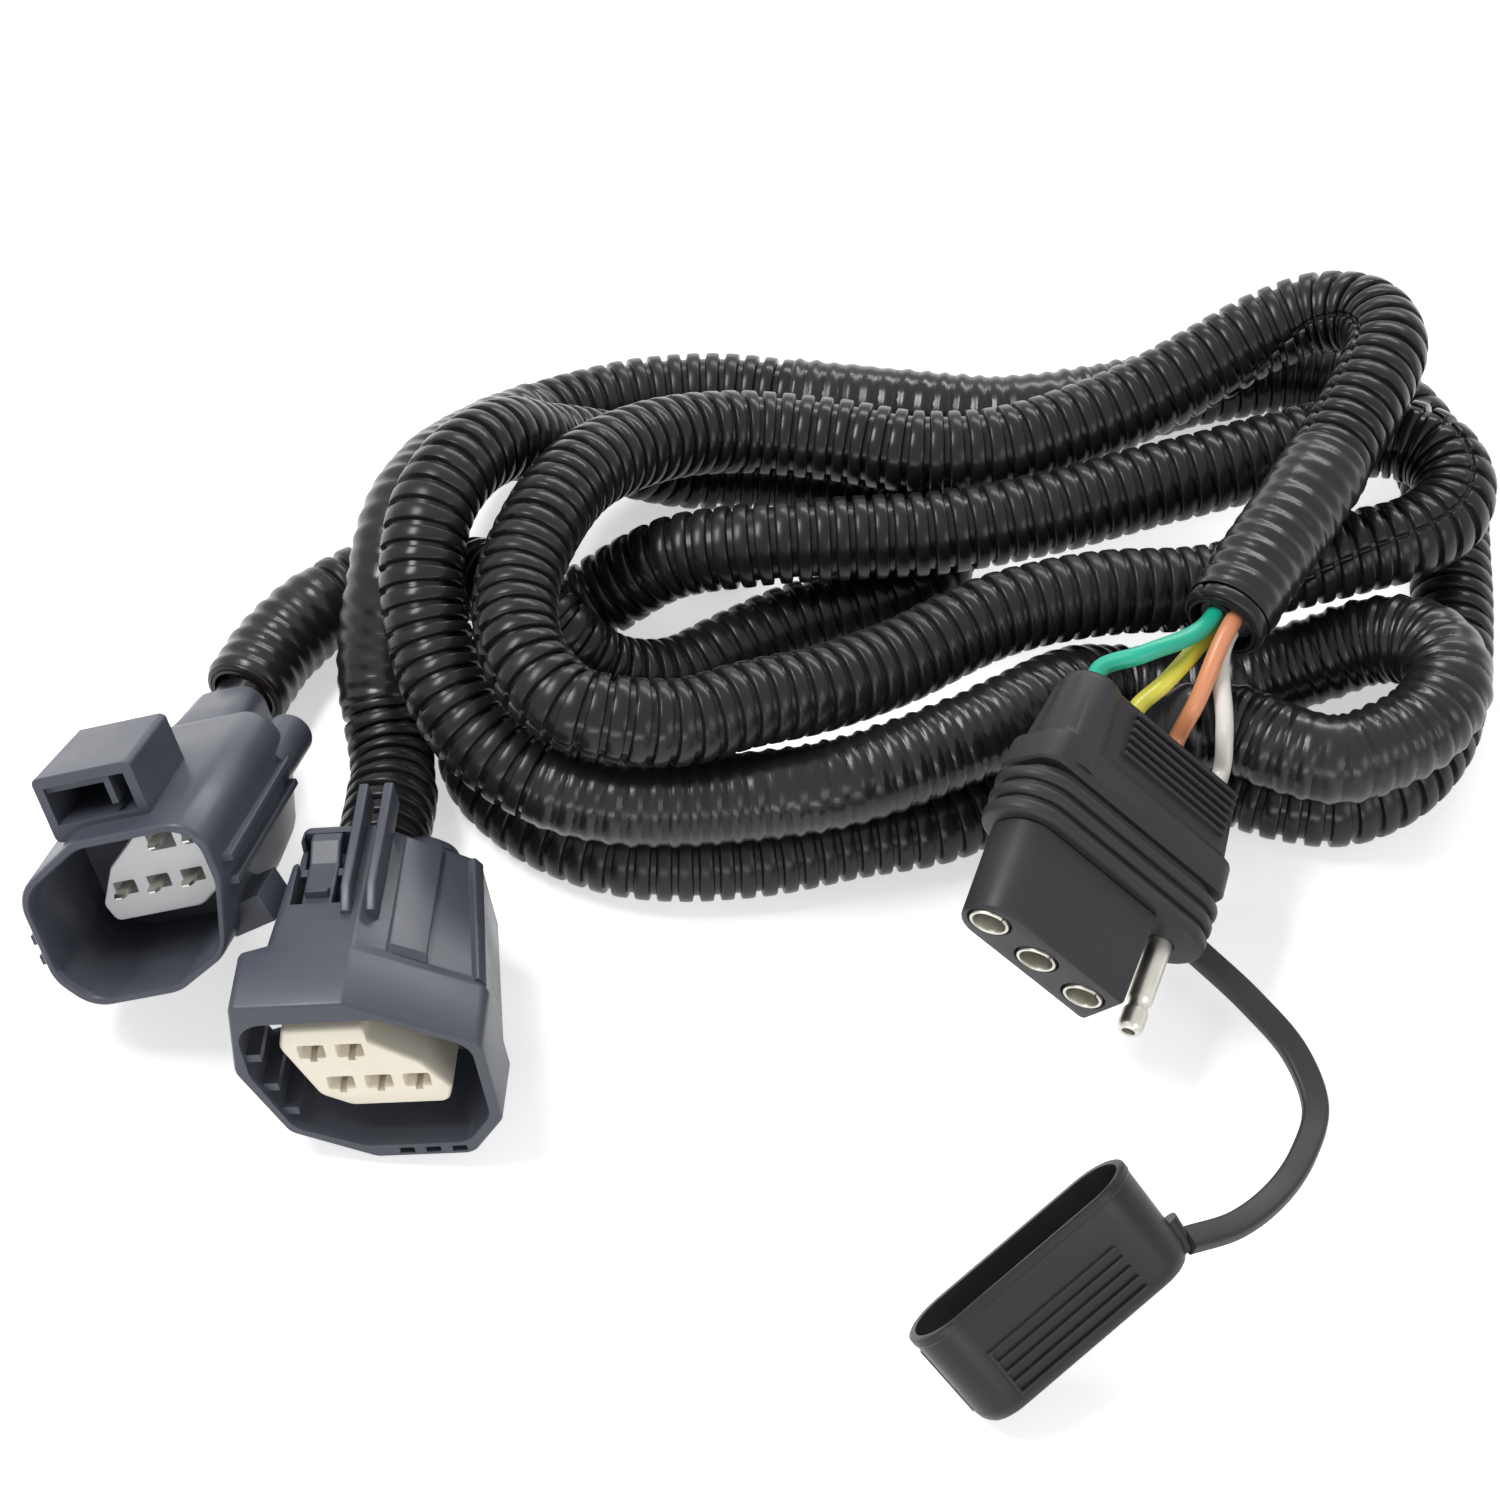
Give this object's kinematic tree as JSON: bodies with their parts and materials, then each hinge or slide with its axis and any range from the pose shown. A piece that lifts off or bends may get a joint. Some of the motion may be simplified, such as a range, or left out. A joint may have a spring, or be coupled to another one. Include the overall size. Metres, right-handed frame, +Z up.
{
  "type": "trailer wiring connector",
  "caption": "Trailer wiring harness with a flat trailer plug, tethered dust cap, corrugated split loom, taped splice and a pair of sealed vehicle connectors.",
  "frame": {"origin": "under the middle of the box of the plug, dust cap, strap and two sealed connectors, on the floor plane they lie on", "axes": "+Z up from the floor; +X from the sealed connectors towards the trailer plug; +Y away from the viewer, towards the laid-up loom"},
  "size_m": [0.2624, 0.2285, 0.0562],
  "materials": {
    "soft_pvc_black": "satin moulded soft PVC",
    "cap_rubber_black": "matt moulded rubber",
    "loom_polyethylene_black": "waxy corrugated polyethylene",
    "pvc_tape_black": "glossy wound tape",
    "housing_nylon_grey": "satin glass-filled nylon",
    "insert_nylon_cream": "semi-gloss nylon",
    "insert_nylon_white": "semi-gloss nylon",
    "tinned_brass": "tin plated",
    "seal_silicone_grey": "matt silicone",
    "wire_pvc_green": "satin wire insulation",
    "wire_pvc_yellow": "satin wire insulation",
    "wire_pvc_brown": "satin wire insulation",
    "wire_pvc_white": "satin wire insulation",
    "wire_pvc_orange": "satin wire insulation"
  },
  "bodies": {
    "harness": {"plug_overmold": "soft_pvc_black", "plug_nose": "soft_pvc_black", "socket_sleeve_1": "tinned_brass", "socket_sleeve_2": "tinned_brass", "socket_sleeve_3": "tinned_brass", "bullet_pin": "tinned_brass", "wire_green": "wire_pvc_green", "wire_yellow": "wire_pvc_yellow", "wire_brown": "wire_pvc_brown", "wire_white": "wire_pvc_white", "cap_strap": "soft_pvc_black", "loom_trunk": "loom_polyethylene_black", "loom_socket_leg": "loom_polyethylene_black", "loom_pin_leg": "loom_polyethylene_black", "wrap_trunk_end": "pvc_tape_black", "wrap_splice": "pvc_tape_black", "wrap_socket_back": "pvc_tape_black", "wrap_socket_end": "pvc_tape_black", "wrap_pin_run": "pvc_tape_black", "wrap_pin_end": "pvc_tape_black", "socket_housing": "housing_nylon_grey", "socket_rear_cover": "housing_nylon_grey", "socket_seal": "seal_silicone_grey", "socket_terminal_1": "tinned_brass", "socket_terminal_2": "tinned_brass", "socket_terminal_3": "tinned_brass", "socket_terminal_4": "tinned_brass", "socket_terminal_5": "tinned_brass", "pin_housing": "housing_nylon_grey", "pin_rear_seal": "seal_silicone_grey", "pin_terminal_1": "tinned_brass", "pin_terminal_2": "tinned_brass", "pin_terminal_3": "tinned_brass", "pin_terminal_4": "tinned_brass", "pin_terminal_5": "tinned_brass", "wire_white_rear": "wire_pvc_white", "wire_orange_rear": "wire_pvc_orange"},
    "cap": {"dust_cap": "cap_rubber_black"},
    "latch": {"socket_latch": "housing_nylon_grey"},
    "socket_lock": {"socket_insert": "insert_nylon_cream"},
    "pin_lock": {"pin_insert": "insert_nylon_white"}
  },
  "joints": [
    {"name": "cap_swing", "type": "hinge", "parent": "harness", "child": "cap", "pos_m": [0.11, -0.0096, 0.006], "axis": [0, 0, 1], "range_deg": [-15, 25], "stiffness_Nm_per_rad": 0.01, "deforming": ["cap_strap"]},
    {"name": "latch_press", "type": "hinge", "parent": "harness", "child": "latch", "pos_m": [-0.05966, 0.02045, 0.03232], "axis": [-0.987, 0.0445, -0.1545], "range_deg": [0, 6], "stiffness_Nm_per_rad": 0.05},
    {"name": "socket_lock_slide", "type": "slide", "parent": "harness", "child": "socket_lock", "axis": [-0.0689, -0.9853, 0.1564], "range_m": [0, 0.0015]},
    {"name": "pin_lock_slide", "type": "slide", "parent": "harness", "child": "pin_lock", "axis": [-0.2193, -0.8794, 0.4226], "range_m": [0, 0.0015]}
  ]
}
